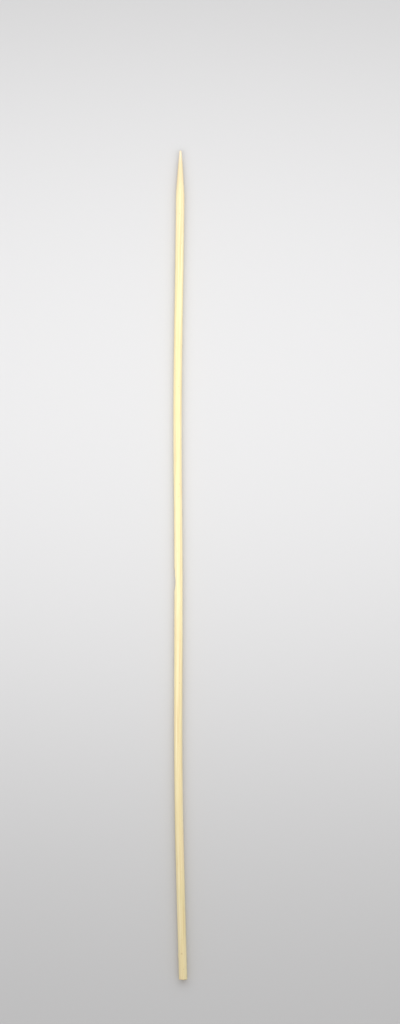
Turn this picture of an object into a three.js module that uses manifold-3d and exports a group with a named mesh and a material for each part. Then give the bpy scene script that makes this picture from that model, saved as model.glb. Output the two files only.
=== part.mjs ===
// Bamboo skewer, in millimetres, +Z up.
// One stick drawn round from split bamboo, ground to a point at one end and sawn square at the other.
// It lies along Y with its point towards +Y, its slight bend flat on the surface it lies on.
// The origin is on that surface, under the middle of the stick's box.

import * as THREE from "three";
import { mergeVertices } from "three/addons/utils/BufferGeometryUtils.js";
import Module from "manifold-3d";

// Stick
const stickLength = 300;
const stickDiameter = 3;

// Ground point: its length, the radius that the grinding left on the very tip, and how full its
// sides are, where 1 is a straight cone and 2 a parabola
const pointLength = 17;
const tipRadius = 0.42;
const pointFullness = 1.2;

// Width of the worn edge round the sawn end
const sawnEdgeEase = 0.15;

// Bend to the side, as the greatest reach of five smooth waves that are all zero at both ends:
// one sweep along the whole stick, an S about its middle, and waves of three, four and five halves.
const bowDepth = 1.52;
const sBendDepth = 0.15;
const tripleBendDepth = 0.22;
const fourfoldBendDepth = 0.1;
const fivefoldBendDepth = 0.1;

// Nick on the -X side, where a splinter came away: a long slope from the point's side, then a steeper one
const nickFromTip = 156.3;
const nickDepth = 0.42;
const nickSlopeTowardsPoint = 5.4;
const nickSlopeTowardsSawnEnd = 3.6;
// How far the cutting wedge runs clear of the stick on every side
const cutClearance = 1;

// Facets
const sides = 24;
const tipSteps = 3;
const pointSteps = 12;
const shankSteps = 28;

const bamboo = new THREE.MeshStandardMaterial({ color: 0xf0dfae, roughness: 0.7, metalness: 0 });
bamboo.name = "bamboo";

const stickRadius = stickDiameter / 2;

// Sideways place of the stick's middle line at a distance from the tip
function bendAt(fromTip) {
  const turn = (Math.PI * fromTip) / stickLength;
  return (
    -bowDepth * Math.sin(turn) +
    sBendDepth * Math.sin(2 * turn) -
    tripleBendDepth * Math.sin(3 * turn) +
    fourfoldBendDepth * Math.sin(4 * turn) +
    fivefoldBendDepth * Math.sin(5 * turn)
  );
}

// Radius on the ground point: nearly a cone, which leaves the tip's rounding and runs out at the shank
function pointRadius(fromTip) {
  const left = (pointLength - fromTip) / (pointLength - tipRadius);
  return tipRadius + (stickRadius - tipRadius) * (1 - left ** pointFullness);
}

// Half section from the sawn end to the tip, as [radius, distance from the tip]
function stickProfile() {
  const profile = [];
  profile.push([0, stickLength]);
  profile.push([stickRadius - sawnEdgeEase, stickLength]);
  const shankEnd = stickLength - sawnEdgeEase;
  for (let i = 0; i < shankSteps; i++) {
    profile.push([stickRadius, THREE.MathUtils.lerp(shankEnd, pointLength, i / shankSteps)]);
  }
  for (let i = 0; i < pointSteps; i++) {
    const fromTip = THREE.MathUtils.lerp(pointLength, tipRadius, i / pointSteps);
    profile.push([pointRadius(fromTip), fromTip]);
  }
  for (let i = 0; i < tipSteps; i++) {
    const turn = (Math.PI / 2) * (1 - i / tipSteps);
    profile.push([tipRadius * Math.sin(turn), tipRadius * (1 - Math.cos(turn))]);
  }
  profile.push([0, 0]);
  return profile;
}

// The round stick, turned about Y and then bent. Its facets lie flat on the true round at top and bottom.
function bentStick() {
  const cornerReach = 1 / Math.cos(Math.PI / sides);
  const points = stickProfile().map(
    ([radius, fromTip]) => new THREE.Vector2(radius * cornerReach, stickLength / 2 - fromTip),
  );
  const geometry = new THREE.LatheGeometry(points, sides, Math.PI / sides);
  const position = geometry.attributes.position;
  for (let i = 0; i < position.count; i++) {
    const fromTip = stickLength / 2 - position.getY(i);
    position.setX(i, position.getX(i) + bendAt(fromTip));
    position.setZ(i, position.getZ(i) + stickRadius);
  }
  return geometry;
}

// The wedge that the lost splinter leaves, standing upright through the stick's -X side
function nickWedge() {
  const middle = stickLength / 2 - nickFromTip;
  const skin = bendAt(nickFromTip) - stickRadius;
  // Each slope runs on outside the skin, as steep as inside it
  const runOn = cutClearance / nickDepth;
  const outline = new THREE.Shape([
    new THREE.Vector2(skin + nickDepth, middle),
    new THREE.Vector2(skin - cutClearance, middle + nickSlopeTowardsPoint * (1 + runOn)),
    new THREE.Vector2(skin - cutClearance, middle - nickSlopeTowardsSawnEnd * (1 + runOn)),
  ]);
  const height = stickDiameter + 2 * cutClearance;
  const geometry = new THREE.ExtrudeGeometry(outline, { depth: height, bevelEnabled: false });
  geometry.translate(0, 0, -cutClearance);
  return geometry;
}

const wasm = await Module();
wasm.setup();

// A closed three.js geometry as a solid, with shared corners merged and empty triangles left out
function toSolid(geometry) {
  geometry.deleteAttribute("normal");
  geometry.deleteAttribute("uv");
  const merged = mergeVertices(geometry, 1e-4);
  const corners = merged.index.array;
  const kept = [];
  for (let i = 0; i < corners.length; i += 3) {
    const [a, b, c] = [corners[i], corners[i + 1], corners[i + 2]];
    if (a !== b && b !== c && c !== a) kept.push(a, b, c);
  }
  return new wasm.Manifold(
    new wasm.Mesh({
      numProp: 3,
      vertProperties: new Float32Array(merged.attributes.position.array),
      triVerts: new Uint32Array(kept),
    }),
  );
}

function toGeometry(solid) {
  const mesh = solid.getMesh();
  const geometry = new THREE.BufferGeometry();
  geometry.setAttribute("position", new THREE.BufferAttribute(mesh.vertProperties, 3));
  geometry.setIndex(new THREE.BufferAttribute(mesh.triVerts, 1));
  geometry.computeVertexNormals();
  return geometry;
}

const nickedStick = toGeometry(toSolid(bentStick()).subtract(toSolid(nickWedge())));

const skewer = new THREE.Mesh(nickedStick, bamboo);
skewer.name = "skewer";
// The bend leaves the stick to one side of its straight line, so the whole is moved over its own middle
nickedStick.computeBoundingBox();
skewer.position.x = -nickedStick.boundingBox.getCenter(new THREE.Vector3()).x;

const group = new THREE.Group();
group.name = "bamboo_skewer";
group.add(skewer);

export default group;
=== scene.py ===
"""A bamboo skewer on a pale floor: the bent, die-drawn stick with its ground point, its sawn end,
the nick in its side and the few fibres that stand off it. Units are metres."""

import math

import bpy
import numpy as np
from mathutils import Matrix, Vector


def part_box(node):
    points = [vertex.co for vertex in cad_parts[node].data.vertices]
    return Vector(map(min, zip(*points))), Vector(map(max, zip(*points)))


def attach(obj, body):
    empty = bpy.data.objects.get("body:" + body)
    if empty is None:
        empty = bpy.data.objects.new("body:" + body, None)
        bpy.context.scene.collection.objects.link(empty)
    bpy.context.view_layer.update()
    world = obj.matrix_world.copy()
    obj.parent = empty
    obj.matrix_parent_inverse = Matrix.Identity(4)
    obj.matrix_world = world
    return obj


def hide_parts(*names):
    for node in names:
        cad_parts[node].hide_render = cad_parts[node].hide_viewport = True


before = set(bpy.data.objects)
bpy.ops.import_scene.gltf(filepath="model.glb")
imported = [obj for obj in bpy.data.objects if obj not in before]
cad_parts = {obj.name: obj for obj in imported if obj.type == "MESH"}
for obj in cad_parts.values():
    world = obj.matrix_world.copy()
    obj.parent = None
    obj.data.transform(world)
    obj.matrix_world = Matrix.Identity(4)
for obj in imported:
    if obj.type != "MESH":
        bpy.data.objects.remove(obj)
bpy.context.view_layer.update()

# The view
# The stick is seen square on along its whole length, so the camera stands straight above it,
# far off behind a long lens, with the point at the top of the picture.
picture_size = Vector((400, 1024))
tip_pixel = Vector((180.5, 150.5))
sawn_end_pixel = Vector((183.1, 979.5))
lens_mm = 200
sensor_mm = 36
view_depth = 20

MM = 0.001
stick_low, stick_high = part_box("skewer")
stick_length = stick_high.y - stick_low.y
stick_radius = (stick_high.z - stick_low.z) / 2

# The stick's bend to the side, as the greatest reach of five smooth waves, all zero at both ends
bow_depth = 1.52 * MM
s_bend_depth = 0.15 * MM
triple_bend_depth = 0.22 * MM
fourfold_bend_depth = 0.10 * MM
fivefold_bend_depth = 0.10 * MM


def bend_at(from_tip):
    """Sideways place of the middle line: the sum of five sine waves, of one to five half turns
    over the length, each times its own depth, of which the first and third bend to the left."""
    turn = np.pi * from_tip / stick_length
    return (
        -bow_depth * np.sin(turn)
        + s_bend_depth * np.sin(2 * turn)
        - triple_bend_depth * np.sin(3 * turn)
        + fourfold_bend_depth * np.sin(4 * turn)
        + fivefold_bend_depth * np.sin(5 * turn)
    )


# Both ends of the middle line lie here, because its furthest bend touches the low side of the box
ends_x = stick_low.x + stick_radius - bend_at(np.linspace(0, stick_length, 601)).min()

tip_to_sawn_end = sawn_end_pixel - tip_pixel
metres_per_pixel = stick_length / tip_to_sawn_end.length
camera_turn = math.atan2(-tip_to_sawn_end.x, tip_to_sawn_end.y)
# The picture's middle, seen from the middle of the line between the stick's ends, right and down
aside = (picture_size - tip_pixel - sawn_end_pixel) / 2 * metres_per_pixel
camera_height = stick_radius + picture_size.y * metres_per_pixel * lens_mm / sensor_mm

camera_data = bpy.data.cameras.new("camera")
camera_data.lens = lens_mm
camera_data.sensor_width = sensor_mm
camera_data.clip_end = view_depth
camera = bpy.data.objects.new("camera", camera_data)
camera.rotation_euler = (0, 0, camera_turn)
camera.location = (
    ends_x + aside.x * math.cos(camera_turn) + aside.y * math.sin(camera_turn),
    aside.x * math.sin(camera_turn) - aside.y * math.cos(camera_turn),
    stick_low.z + camera_height,
)
bpy.context.scene.collection.objects.link(camera)
bpy.context.scene.camera = camera

# The stick
# One length of moso bamboo, split from the wall of a cane and pulled through a round die, which
# leaves it slightly out of round and scored along its grain. The point is ground on an abrasive
# wheel, the other end is sawn across, and one splinter is gone from its left side.
point_length = 17 * MM
tip_radius = 0.42 * MM
point_fullness = 1.2
sawn_edge_ease = 0.15 * MM

nick_from_tip = 156.3 * MM
nick_depth = 0.42 * MM
nick_slope_towards_point = 5.4 * MM
nick_slope_towards_sawn_end = 3.6 * MM

shank_row_spacing = 0.62 * MM
columns = 152
sawn_face_rows = 14

chance = np.random.default_rng(30)


def smooth_step(value):
    """0 below 0, 1 above 1, and three squares less two cubes between."""
    held = np.clip(value, 0, 1)
    return held * held * (3 - 2 * held)


def row_places():
    """Distances from the tip of the rings of points. Their spacing is that of the shank, and
    bell-shaped humps in the number of rings per metre make it finer at the tip, the nick and the
    end. The first ring lies this share of a spacing from the tip, which is a point of its own."""
    first_ring = 0.6
    line = np.linspace(0, stick_length, 20001)
    per_metre = np.full(line.shape, 1 / shank_row_spacing)
    # Each hump's middle and reach, and the spacing that it would give there by itself
    finer = (
        (0, 10 * MM, 0.15 * MM),
        (0, 0.45 * MM, 0.03 * MM),
        (nick_from_tip - 1 * MM, 4.5 * MM, 0.17 * MM),
        (stick_length, 0.9 * MM, 0.05 * MM),
        (stick_length, 0.12 * MM, 0.012 * MM),
    )
    for centre, reach, spacing in finer:
        per_metre += (1 / spacing) * np.exp(-(((line - centre) / reach) ** 2))
    rings = np.concatenate([[0], np.cumsum((per_metre[1:] + per_metre[:-1]) / 2 * np.diff(line))])
    count = int(rings[-1])
    return np.interp(np.linspace(first_ring, rings[-1], count), rings, line)


def section_radius(from_tip, ease):
    """Radius of the plain stick: a quarter round at the tip, nearly a cone up to the shank, the
    shank, and a quarter round of the given width at the sawn end. On the cone the radius is the
    shank's less a part of the difference between the shank's and the tip's. That part is the share
    of the point that is still to come, to the power point_fullness."""
    blunt = np.sqrt(np.clip(tip_radius**2 - (tip_radius - from_tip) ** 2, 0, None))
    left = np.clip((point_length - from_tip) / (point_length - tip_radius), 0, None)
    ground = tip_radius + (stick_radius - tip_radius) * (1 - left**point_fullness)
    plain = np.where(from_tip < tip_radius, blunt, ground)
    into_edge = np.clip((from_tip - stick_length + ease) / ease, 0, 1)
    return plain - ease * (1 - np.sqrt(1 - into_edge**2))


def on_the_ground_point(from_tip):
    """1 on the ground point and 0 on the shank, with a soft change where the wheel ran out."""
    change_start = point_length - 4 * MM
    change_length = 5 * MM
    return 1 - smooth_step((from_tip - change_start) / change_length)


def out_of_round(from_tip, around):
    """An oval and a three-sided wave, which turn by one radian over the distances given here, and
    a slow swell in the whole radius."""
    oval_depth = 0.022 * MM
    oval_turn = 190 * MM
    three_sided_depth = 0.012 * MM
    three_sided_turn = 140 * MM
    swell_depth = 0.014 * MM
    swell_length = 83 * MM
    oval = oval_depth * np.cos(2 * (around - 0.5 - from_tip / oval_turn))
    three_sided = three_sided_depth * np.cos(3 * (around + from_tip / three_sided_turn))
    swell = swell_depth * np.sin(2 * np.pi * from_tip / swell_length + 1.1)
    return (oval + three_sided + swell) * smooth_step(from_tip / point_length)


def angle_between(around, centre):
    """The angle from centre to around, from minus half a turn to half a turn."""
    return (around - centre + np.pi) % (2 * np.pi) - np.pi


def die_scores(from_tip, around):
    """Long fine scores that the die cuts: bell-shaped grooves, whose angles drift a little and
    whose depth comes and goes as sine waves along the stick."""
    score_count = 18
    drift_angle = 0.04
    total = np.zeros(np.broadcast(from_tip, around).shape)
    for _ in range(score_count):
        centre = chance.uniform(0, 2 * np.pi)
        width = chance.uniform(0.035, 0.075)
        depth = chance.uniform(0.010, 0.026) * MM
        wave = chance.uniform(60, 170) * MM
        start = chance.uniform(0, 2 * np.pi)
        drift = drift_angle * np.sin(from_tip / wave + start)
        strength = 0.55 + 0.45 * np.sin(2 * np.pi * from_tip / wave + start)
        total -= depth * strength * np.exp(-((angle_between(around, centre + drift) / width) ** 2))
    return total


def fibre_ridges(from_tip, around):
    """The grain as felt across it: waves with so many ridges around the stick, whose places shift
    to and fro along it."""
    ridge_counts = (13, 17, 22, 27, 31, 36, 41, 47)
    shift_reach = 0.9
    total = np.zeros(np.broadcast(from_tip, around).shape)
    for ridges in ridge_counts:
        height = chance.uniform(0.0035, 0.0065) * MM
        wave = chance.uniform(24, 90) * MM
        start, other = chance.uniform(0, 2 * np.pi, 2)
        shift = shift_reach * np.sin(2 * np.pi * from_tip / wave + start)
        total += height * np.cos(ridges * around + shift + other)
    return total


def open_splits(from_tip, around):
    """Short splits between fibres: narrow grooves that taper out at both ends, scattered at random."""
    split_count = 90
    total = np.zeros(np.broadcast(from_tip, around).shape)
    for _ in range(split_count):
        centre = chance.uniform(0, 2 * np.pi)
        middle = chance.uniform(point_length, stick_length)
        half_length = chance.uniform(2, 13) * MM
        width = chance.uniform(0.028, 0.055)
        depth = chance.uniform(0.02, 0.055) * MM
        taper = np.clip(1 - ((from_tip - middle) / half_length) ** 2, 0, None)
        total -= depth * taper * np.exp(-((angle_between(around, centre) / width) ** 2))
    return total


def wheel_marks(from_tip, around):
    """What the wheel leaves on the point: shallow rings that slant, and five soft flats that wind
    round it. Both fade out towards the tip."""
    ring_depth = 0.008 * MM
    ring_spacing = 0.66 * MM
    flat_depth = 0.022 * MM
    flat_winding = 31 * MM
    plain_tip = 3 * MM
    rings = ring_depth * np.sin(2 * np.pi * from_tip / ring_spacing + 2 * around)
    flats = flat_depth * np.cos(5 * around + 2 * np.pi * from_tip / flat_winding)
    return (rings + flats) * smooth_step(from_tip / plain_tip)


def cut_by_nick(radius, from_tip, around):
    """The radius with the nick taken out: on the left side no point lies further out than the
    nick's floor. The splinter tore away in two steps on the point's side, and ran out in one long
    slope on the other. Each narrow lane of fibres broke off a little nearer or further, and a
    little higher or lower. The edge against the skin is softened by a smooth maximum."""
    lane_edges = 65
    spread_along = 0.28 * MM
    spread_in_depth = 0.025 * MM
    edge_softness = 0.02 * MM
    lanes = np.linspace(0, 2 * np.pi, lane_edges)
    broke_at = chance.normal(0, spread_along, lanes.size)
    gave_way = chance.normal(0, spread_in_depth, lanes.size)
    past = from_tip - nick_from_tip + np.interp(around, lanes, broke_at)
    # The floor's depth as a share of the whole, at shares of the slope on either side
    before = np.array([-1.0, -0.93, -0.45, -0.35]) * nick_slope_towards_point
    after = np.array([0.0, 0.4, 1.0, 1.1]) * nick_slope_towards_sawn_end
    shares = [-0.3, 0.42, 0.5, 0.9, 1.0, 0.92, 0.0, -0.3]
    share = np.interp(past, np.concatenate([before, after]), shares)
    depth = nick_depth * share + np.interp(around, lanes, gave_way) * (share > 0)
    to_the_left = np.clip(-np.cos(around), 0.05, 1)
    floor = (stick_radius - depth) / to_the_left
    above_floor = np.clip((radius - floor) / edge_softness, -40, 400)
    return radius - edge_softness * np.logaddexp(0, above_floor)


def sawn_relief(across, up):
    """Depth of the sawn face below its plane: a sine wave of parallel saw marks, and bell-shaped
    mouths of open vessels at random places."""
    cut_direction = 0.5
    mark_depth = 0.012 * MM
    mark_spacing = 0.31 * MM
    mouth_count = 34
    mouth_depth = 0.05 * MM
    along_cut = across * math.cos(cut_direction) + up * math.sin(cut_direction)
    marks = mark_depth * (1 + np.sin(2 * np.pi * along_cut / mark_spacing))
    mouths = np.zeros(across.shape)
    for _ in range(mouth_count):
        reach = stick_radius * math.sqrt(chance.uniform(0, 0.85))
        angle = chance.uniform(0, 2 * np.pi)
        size = chance.uniform(0.05, 0.10) * MM
        off = (across - reach * math.cos(angle)) ** 2 + (up - reach * math.sin(angle)) ** 2
        mouths += mouth_depth * np.exp(-off / size**2)
    return marks + mouths


def stick_points():
    """Rings of points from the tip to the middle of the sawn face, as (ring, point, xyz), each
    point's distance from the tip, and how many rings the side has. A point is the middle line's
    place at its ring, plus the radius with all its relief in the direction of its column."""
    from_tip = row_places()[:, None]
    around = np.linspace(0, 2 * np.pi, columns, endpoint=False)[None, :]
    # The saw broke the edge away unevenly, as shares of its mean width
    bites = 1 + 0.5 * np.sin(7 * around) + 0.4 * np.sin(19 * around + 1) + 0.5 * np.sin(31 * around)
    ease = sawn_edge_ease * np.clip(bites, 0.35, None)
    radius = section_radius(from_tip, ease)
    ground = on_the_ground_point(from_tip)
    drawn = die_scores(from_tip, around) + fibre_ridges(from_tip, around)
    # The wheel took most of the drawn relief off the point, and all relief dies away at the tip
    relief = (drawn + open_splits(from_tip, around)) * (1 - 0.65 * ground)
    relief += out_of_round(from_tip, around) + wheel_marks(from_tip, around) * ground
    relief *= np.clip(radius / (0.5 * stick_radius), 0, 1)
    radius = cut_by_nick(radius + relief, from_tip, around)

    inwards = np.linspace(1, 0, sawn_face_rows + 1)[1:-1, None]
    face_radius = radius[-1:] * inwards
    face_relief = sawn_relief(face_radius * np.cos(around), face_radius * np.sin(around))
    face_from_tip = stick_length - face_relief

    side_rings = len(radius)
    radius = np.concatenate([radius, face_radius])
    from_tip = np.concatenate([np.broadcast_to(from_tip, (len(from_tip), columns)), face_from_tip])
    x = ends_x + bend_at(from_tip) + radius * np.cos(around)
    y = stick_high.y - from_tip
    z = stick_low.z + stick_radius + radius * np.sin(around)
    return np.stack([x, y, z], axis=2), from_tip, side_rings


def grain_places(points):
    """Each point's place in the straight cane wall that the stick was split from: across from the
    middle line, along it and up. The stick runs out of the grain a little, so the grain's own
    sideways place moves by these shares of the distance along it."""
    run_out_across = 0.0075
    run_out_up = -0.0045
    along = stick_high.y - points[..., 1]
    across = points[..., 0] - ends_x - bend_at(along) + run_out_across * along
    up = points[..., 2] - stick_low.z - stick_radius + run_out_up * along
    return np.stack([across, along, up], axis=-1)


def skin_of(rings):
    """Faces of a closed skin over rings of points, tip first, as point numbers: four-sided ones
    between neighbouring rings, and a fan of triangles to one more point at each end."""
    count, around = rings.shape[:2]
    number = np.arange(count * around).reshape(count, around)
    beside = np.roll(number, -1, axis=1)
    sides = np.stack([number[:-1], beside[:-1], beside[1:], number[1:]], axis=2).reshape(-1, 4)
    first_pole = np.full(around, count * around)
    tip_fan = np.stack([first_pole, beside[0], number[0]], axis=1)
    end_fan = np.stack([number[-1], beside[-1], first_pole + 1], axis=1)
    return sides.tolist() + tip_fan.tolist() + end_fan.tolist()


def add_grain(mesh, points):
    """Keeps each point's place in the grain on the mesh, for its material."""
    grain = mesh.attributes.new("grain", "FLOAT_VECTOR", "POINT")
    grain.data.foreach_set("vector", grain_places(points).astype(np.float32).ravel())


def lay_out_map(mesh, rings, from_tip, side_rings):
    """Writes the map that textures are baked through. The side is cut into equal lengths that lie
    next to each other as upright strips, each with the way around across it, and the sawn face is
    a round patch below them."""
    strips = 4
    patch = 0.07
    gap = 0.006
    ring_place = from_tip.mean(axis=1)
    count = len(rings)
    ring, column = np.divmod(np.arange((count - 1) * columns), columns)
    corner_ring = np.stack([ring, ring, ring + 1, ring + 1], axis=1)
    corner_column = np.stack([column, column + 1, column + 1, column], axis=1)
    strip = np.minimum(ring_place[ring] / stick_length * strips, strips - 1).astype(int)[:, None]
    u = (strip + gap + (1 - 2 * gap) * corner_column / columns) / strips
    along = ring_place[corner_ring] / stick_length * strips - strip
    v = patch + gap + (1 - patch - 3 * gap) * along
    face = rings[..., [0, 2]] - (ends_x, stick_low.z + stick_radius)
    on_face = patch / 2 + face / stick_radius * (patch / 2 - gap)
    in_face = (ring >= side_rings - 1)[:, None]
    flat = on_face[corner_ring, corner_column % columns]
    side_map = np.stack([np.where(in_face, flat[..., 0], u), np.where(in_face, flat[..., 1], v)], axis=2)

    each = np.arange(columns)
    tip_u = (gap + (1 - 2 * gap) * np.stack([each + 0.5, each + 1, each], axis=1) / columns) / strips
    tip_v = patch + gap + np.array([0.0, 1, 1]) * (1 - patch - 3 * gap) * ring_place[0] / stick_length
    tip_map = np.stack([tip_u, np.broadcast_to(tip_v, tip_u.shape)], axis=2)
    innermost = on_face[-1]
    face_middle = np.full_like(innermost, patch / 2)
    end_map = np.stack([innermost, np.roll(innermost, -1, axis=0), face_middle], axis=1)
    whole = np.concatenate([part.reshape(-1, 2) for part in (side_map, tip_map, end_map)])
    bake_map = mesh.uv_layers.new(name="OFBake")
    bake_map.data.foreach_set("uv", whole.astype(np.float32).ravel())


stick_rings, stick_from_tip, stick_side_rings = stick_points()
tip_point = (ends_x, stick_high.y, stick_low.z + stick_radius)
sawn_middle = (ends_x, stick_low.y, stick_low.z + stick_radius)
stick_flat = np.concatenate([stick_rings.reshape(-1, 3), [tip_point, sawn_middle]])
stick_mesh = bpy.data.meshes.new("stick")
stick_mesh.from_pydata(stick_flat.tolist(), [], skin_of(stick_rings))
add_grain(stick_mesh, stick_flat)
lay_out_map(stick_mesh, stick_rings, stick_from_tip, stick_side_rings)
stick_mesh.shade_smooth()
stick = bpy.data.objects.new("stick", stick_mesh)
bpy.context.scene.collection.objects.link(stick)


def linear(hex_colour):
    """The linear colour of an sRGB hex value, with full alpha: each channel to the power 2.4 above
    the short straight stretch near black."""
    channels = [int(hex_colour[i : i + 2], 16) / 255 for i in (1, 3, 5)]
    bent = [c / 12.92 if c <= 0.04045 else ((c + 0.055) / 1.055) ** 2.4 for c in channels]
    return (*bent, 1)


def add_node(tree, kind, inputs=None, **settings):
    """Adds a node of this kind with these settings, and gives each input its value or its link."""
    node = tree.nodes.new(kind)
    for name, value in settings.items():
        setattr(node, name, value)
    for name, value in (inputs or {}).items():
        if isinstance(value, bpy.types.NodeSocket):
            tree.links.new(value, node.inputs[name])
        else:
            node.inputs[name].default_value = value
    return node


def die_drawn_bamboo():
    """Moso bamboo, drawn through a die and left bare. Pale straw ground tissue carries tan bundles
    of fibre that run the length of the cane, so the side shows long faint streaks that taper out
    where the stick leaves the grain, and the sawn end shows the same bundles as dots. The die
    leaves a dull sheen on the shank, and the wheel leaves the point creamy and fuzzy. The point's
    darker tint is partly that creamy tone and partly painted shade."""
    material = bpy.data.materials.new("die_drawn_bamboo")
    material.use_nodes = True
    tree = material.node_tree
    tree.nodes.clear()
    grain = add_node(tree, "ShaderNodeAttribute", attribute_name="grain").outputs["Vector"]
    place = add_node(tree, "ShaderNodeSeparateXYZ", {"Vector": grain}).outputs

    def along_grain(vector, across_mm, along_mm, detail=2.0, roughness=0.5):
        """Patches drawn out along the grain, from their size across it and along it."""
        scale = (1 / (across_mm * MM), 1 / (along_mm * MM), 1 / (across_mm * MM))
        stretched = add_node(tree, "ShaderNodeMapping", {"Vector": vector, "Scale": scale})
        inputs = {"Vector": stretched.outputs["Vector"], "Scale": 1.0}
        inputs |= {"Detail": detail, "Roughness": roughness}
        return add_node(tree, "ShaderNodeTexNoise", inputs).outputs

    # The grain wavers by about a tenth of a millimetre over some 45 mm
    waver = along_grain(grain, 5, 45)["Color"]
    centred = add_node(tree, "ShaderNodeVectorMath", {0: waver, 1: (0.5,) * 3}, operation="SUBTRACT")
    waver_inputs = {0: centred.outputs[0], 1: (0.35 * MM,) * 3, 2: grain}
    wavering = add_node(tree, "ShaderNodeVectorMath", waver_inputs, operation="MULTIPLY_ADD").outputs[0]

    # Fibre bundles, some 0.35 mm wide with soft edges and about 0.6 mm apart, laid out in the
    # cross-section
    bundle_spacing = 0.62 * MM
    section_inputs = {"Vector": wavering, "Rotation": (math.pi / 2, 0, 0)}
    section_inputs |= {"Scale": (1 / bundle_spacing,) * 3}
    section = add_node(tree, "ShaderNodeMapping", section_inputs).outputs["Vector"]
    cell_inputs = {"Vector": section, "Scale": 1.0}
    cells = add_node(tree, "ShaderNodeTexVoronoi", cell_inputs, voronoi_dimensions="2D")
    from_bundle = cells.outputs["Distance"]

    # Single fibres some 0.12 mm wide, broad bands of tone over a millimetre or more, patches of
    # tone, pores, and the fading of the bundles over some 30 mm
    fibres = along_grain(wavering, 0.12, 11, detail=3, roughness=0.6)[0]
    broad = along_grain(wavering, 1.5, 70, detail=1)[0]
    patchy = along_grain(grain, 2.4, 22)[0]
    pores = along_grain(grain, 0.22, 1.6, detail=1)[0]
    fading = along_grain(grain, 0.9, 30)[0]

    # The edge of the ground point wavers by a millimetre or two where the wheel ran out. The
    # pattern averages a half, so that it adds 3 mm to the distance from the tip.
    edge_inputs = {0: patchy, 1: 6 * MM, 2: place["Y"]}
    from_wheel = add_node(tree, "ShaderNodeMath", edge_inputs, operation="MULTIPLY_ADD").outputs[0]
    wheel_start = point_length - 4 * MM
    wheel_end = point_length + 3 * MM

    # How strongly each mark shows, and the two parts of the roughness: what it follows, the two
    # values of that between which it changes smoothly, and its strength at the first and the second
    bundle_strength = 0.55
    marks = {
        "bundle": (from_bundle, 0.16, 0.40, 1, 0),
        "fading of bundles": (fading, 0.38, 0.68, 0.15, 1),
        "towards the skin": (place["X"], -2 * MM, 3.5 * MM, 0.45 * bundle_strength, bundle_strength),
        "broad band": (broad, 0.35, 0.65, 0, 1),
        "pink patch": (patchy, 0.52, 0.72, 0, 0.5),
        "green patch": (patchy, 0.46, 0.28, 0, 0.45),
        "dark fibre": (fibres, 0.45, 0.72, 0, 0.45),
        "pale fibre": (fibres, 0.45, 0.25, 0, 0.45),
        "sap in a pore": (pores, 0.735, 0.80, 0, 0.6),
        # The point's darker tint is partly the ground wood's own tone and partly painted shade
        "ground point with painted shade": (from_wheel, wheel_start, wheel_end, 0.7, 0),
        "crushed tip": (place["Y"], 0, 6 * MM, 0.5, 0),
        "bundle in the sawn face": (from_bundle, 0.16, 0.40, 0.75, 0),
        "sawn face": (place["Y"], stick_length - 0.16 * MM, stick_length - 0.02 * MM, 0, 0.85),
        "dullness of fibres": (fibres, 0.3, 0.7, 0.50, 0.68),
        "dullness of the point": (from_wheel, wheel_start, wheel_end, 0.12, 0),
    }
    # Two dull spots near the sawn end, where sap bled: from the tip, to the right, and reach, in mm
    dull_spots = {"first dull spot": (290.6, -0.25, 0.5), "second dull spot": (296.2, 0.3, 0.32)}
    for name, (from_tip, right, reach) in dull_spots.items():
        spot_x = ends_x + bend_at(from_tip * MM) + right * MM
        spot = grain_places(np.array([spot_x, stick_high.y - from_tip * MM, stick_high.z]))
        away = add_node(tree, "ShaderNodeVectorMath", {0: grain, 1: spot}, operation="DISTANCE")
        marks[name] = (away.outputs["Value"], 0.3 * reach * MM, reach * MM, 0.28, 0)

    strength = {}
    for name, (follows, first, second, at_first, at_second) in marks.items():
        inputs = {"Value": follows, "From Min": first, "From Max": second}
        inputs |= {"To Min": at_first, "To Max": at_second}
        mark = add_node(tree, "ShaderNodeMapRange", inputs, interpolation_type="SMOOTHSTEP")
        strength[name] = mark.outputs["Result"]
    # The bundles fade in and out along the cane, and show more strongly towards its outer skin
    for name in ("fading of bundles", "towards the skin"):
        inputs = {0: strength["bundle"], 1: strength[name]}
        strength["bundle"] = add_node(tree, "ShaderNodeMath", inputs, operation="MULTIPLY").outputs[0]

    # Straw, and the tints that are laid over it one after another
    colour = linear("#F1E4BA")
    tints = {
        "broad band": "#EADAA9",
        "pink patch": "#EFD6AC",
        "green patch": "#E6DFAC",
        "dark fibre": "#DCC48E",
        "pale fibre": "#F8EFD0",
        "bundle": "#CDAC72",
        "sap in a pore": "#A27C46",
        "first dull spot": "#A98F62",
        "second dull spot": "#A98F62",
        # Partly painted shade: the point is tinted darker than the shank
        "ground point with painted shade": "#E4D0A8",
        "crushed tip": "#F2E6D0",
    }
    for name, tint in tints.items():
        inputs = {0: strength[name], 6: colour, 7: linear(tint)}
        colour = add_node(tree, "ShaderNodeMix", inputs, data_type="RGBA").outputs[2]
    # The sawn face takes in more light, and its bundles show darker
    inputs = {0: strength["bundle in the sawn face"], 6: linear("#D8BD88"), 7: linear("#9C7A48")}
    end_grain = add_node(tree, "ShaderNodeMix", inputs, data_type="RGBA").outputs[2]
    inputs = {0: strength["sawn face"], 6: colour, 7: end_grain}
    colour = add_node(tree, "ShaderNodeMix", inputs, data_type="RGBA").outputs[2]

    inputs = {0: strength["dullness of fibres"], 1: strength["dullness of the point"]}
    roughness = add_node(tree, "ShaderNodeMath", inputs, operation="ADD").outputs[0]
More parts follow.
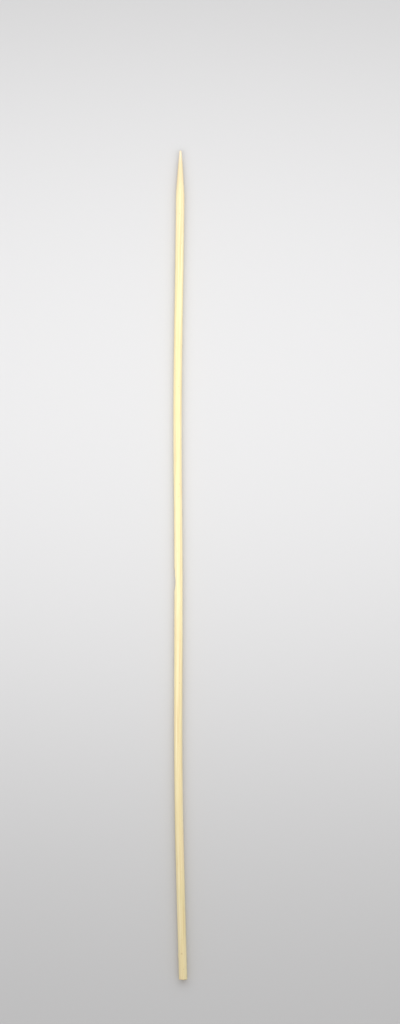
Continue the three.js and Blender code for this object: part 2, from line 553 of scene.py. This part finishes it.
    # Single fibres stand up by about a hundredth of a millimetre
    inputs = {"Height": fibres, "Strength": 0.5, "Distance": 0.02 * MM}
    bump = add_node(tree, "ShaderNodeBump", inputs).outputs["Normal"]
    inputs = {"Base Color": colour, "Roughness": roughness, "Normal": bump}
    inputs |= {"IOR": 1.5, "Specular IOR Level": 0.45}
    surface = add_node(tree, "ShaderNodeBsdfPrincipled", inputs)
    add_node(tree, "ShaderNodeOutputMaterial", {"Surface": surface.outputs[0]})
    return material


bamboo = die_drawn_bamboo()
stick_mesh.materials.append(bamboo)
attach(stick, "root")
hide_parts("skewer")

# The lifted fibres
# Where the saw, the wheel or the lost splinter tore the grain, a few fibres stand off the stick.
# Each is part of the stick's own wood: it starts under the skin and tapers to nothing in the air.
fibre_rings = 9
fibre_sides = 6


def lifted_fibre(from_tip, around, length, width, lift, curl, way):
    """One fibre, as (ring, point, xyz). Its middle line leaves the skin at a place given along and
    around the stick and runs along the grain towards the tip (way 1) or away from it (way -1). It
    rises with the power 1.7 of the share run, and swings round the stick with its square, up to the
    angle curl. Its section is an oval that shrinks nearly to a point."""
    share = np.linspace(0, 1, fibre_rings)[:, None]
    turn = np.linspace(0, 2 * np.pi, fibre_sides, endpoint=False)[None, :]
    along = from_tip - way * length * share
    bearing = around + curl * share**2
    out = section_radius(from_tip, sawn_edge_ease) - 0.6 * width + lift * share**1.7
    half = 0.5 * width * (1 - share) ** 0.6 + 0.004 * MM
    outward = out + 0.6 * half * np.sin(turn)
    sideways = half * np.cos(turn)
    x = ends_x + bend_at(from_tip) + outward * np.cos(bearing) - way * sideways * np.sin(bearing)
    y = np.broadcast_to(stick_high.y - along, x.shape)
    z = stick_low.z + stick_radius + outward * np.sin(bearing) + way * sideways * np.cos(bearing)
    return np.stack([x, y, z], axis=2)


def scattered_fibres():
    """All the fibres: the one splinter that shows on the left near the sawn end, and then small
    ones at random within the places and sizes of each group."""
    splinter = lifted_fibre(
        from_tip=289.4 * MM,
        around=np.pi + 0.05,
        length=3.3 * MM,
        width=0.26 * MM,
        lift=0.46 * MM,
        curl=0.05,
        way=-1,
    )
    fibres = [splinter]
    # Each group: how many, between which distances from the tip, about which bearing and how far to
    # either side of it, how long in mm, how far lifted in mm, and which way
    nick_start = nick_from_tip - nick_slope_towards_point
    nick_end = nick_from_tip + nick_slope_towards_sawn_end
    saw_start = stick_length - 0.8 * MM
    groups = (
        (5, (nick_end + 0.1 * MM, nick_end + 0.9 * MM), (np.pi, 0.5), (0.7, 1.6), (0.0, 0.12), 1),
        (4, (nick_start - 0.9 * MM, nick_start - 0.1 * MM), (np.pi, 0.45), (0.7, 1.8), (0.0, 0.1), -1),
        (20, (saw_start, stick_length - 0.3 * MM), (0, np.pi), (0.3, 0.9), (0.02, 0.2), -1),
        (12, (3 * MM, point_length + 2 * MM), (0, np.pi), (0.5, 1.6), (0.04, 0.18), -1),
        (14, (point_length, stick_length), (0, np.pi), (1.2, 4.5), (0.03, 0.22), -1),
    )
    for count, places, (bearing, spread), lengths, lifts, way in groups:
        for _ in range(count):
            fibres.append(
                lifted_fibre(
                    chance.uniform(*places),
                    bearing + chance.uniform(-spread, spread),
                    chance.uniform(*lengths) * MM,
                    chance.uniform(0.045, 0.09) * MM,
                    chance.uniform(*lifts) * MM,
                    chance.uniform(-0.12, 0.12),
                    way,
                )
            )
    return fibres


fibre_points = []
fibre_faces = []
for rings in scattered_fibres():
    first = len(fibre_points)
    fibre_points.extend(rings.reshape(-1, 3).tolist())
    fibre_points.extend([rings[0].mean(axis=0).tolist(), rings[-1].mean(axis=0).tolist()])
    fibre_faces.extend([[first + number for number in face] for face in skin_of(rings)])
fibre_mesh = bpy.data.meshes.new("lifted_fibres")
fibre_mesh.from_pydata(fibre_points, [], fibre_faces)
add_grain(fibre_mesh, np.array(fibre_points))
fibre_mesh.shade_smooth()
fibre_mesh.materials.append(bamboo)
lifted_fibres = bpy.data.objects.new("lifted_fibres", fibre_mesh)
bpy.context.scene.collection.objects.link(lifted_fibres)
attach(lifted_fibres, "root")

# The floor
# A plain pale sheet of matt board, large enough to reach past the picture from every side.
# It lies a little below the plain stick, because the raised grain reaches further down.
floor_reach = 8
floor_height = stick_low.z - 0.02 * MM
corner_signs = ((-1, -1), (1, -1), (1, 1), (-1, 1))
floor_corners = [(x * floor_reach, y * floor_reach, floor_height) for x, y in corner_signs]
floor_mesh = bpy.data.meshes.new("floor")
floor_mesh.from_pydata(floor_corners, [], [(0, 1, 2, 3)])
board = bpy.data.materials.new("matt_board")
board.use_nodes = True
board.node_tree.nodes.clear()
board_inputs = {"Base Color": linear("#C9C9CA"), "Roughness": 0.9, "Specular IOR Level": 0.2}
board_surface = add_node(board.node_tree, "ShaderNodeBsdfPrincipled", board_inputs)
add_node(board.node_tree, "ShaderNodeOutputMaterial", {"Surface": board_surface.outputs[0]})
floor_mesh.materials.append(board)
floor = bpy.data.objects.new("floor", floor_mesh)
bpy.context.scene.collection.objects.link(floor)


# The light
# A pale room lights the stick evenly from all round. One soft box close above its upper half makes
# the light fullest there, so that it falls off towards the sawn end, and a weak one is far above.
def soft_box(name, place, target, width, length, watts):
    """A flat white light at a place, facing a target, that the camera doesn't see."""
    data = bpy.data.lights.new(name, "AREA")
    data.shape = "RECTANGLE"
    data.size = width
    data.size_y = length
    data.energy = watts
    box = bpy.data.objects.new(name, data)
    box.location = place
    box.rotation_euler = (Vector(target) - Vector(place)).to_track_quat("-Z", "Y").to_euler()
    box.visible_camera = False
    bpy.context.scene.collection.objects.link(box)


soft_box("key", place=(0, 0.072, 0.13), target=(0, 0.072, 0), width=0.46, length=0.26, watts=0.42)
soft_box("fill", place=(0.3, 0.2, 2.5), target=(0, 0, 0), width=3.0, length=3.0, watts=8)
world = bpy.data.worlds.new("room")
world.use_nodes = True
world.node_tree.nodes["Background"].inputs["Color"].default_value = linear("#F2F1F0")
world.node_tree.nodes["Background"].inputs["Strength"].default_value = 0.745
bpy.context.scene.world = world
bpy.context.scene.view_settings.view_transform = "Standard"
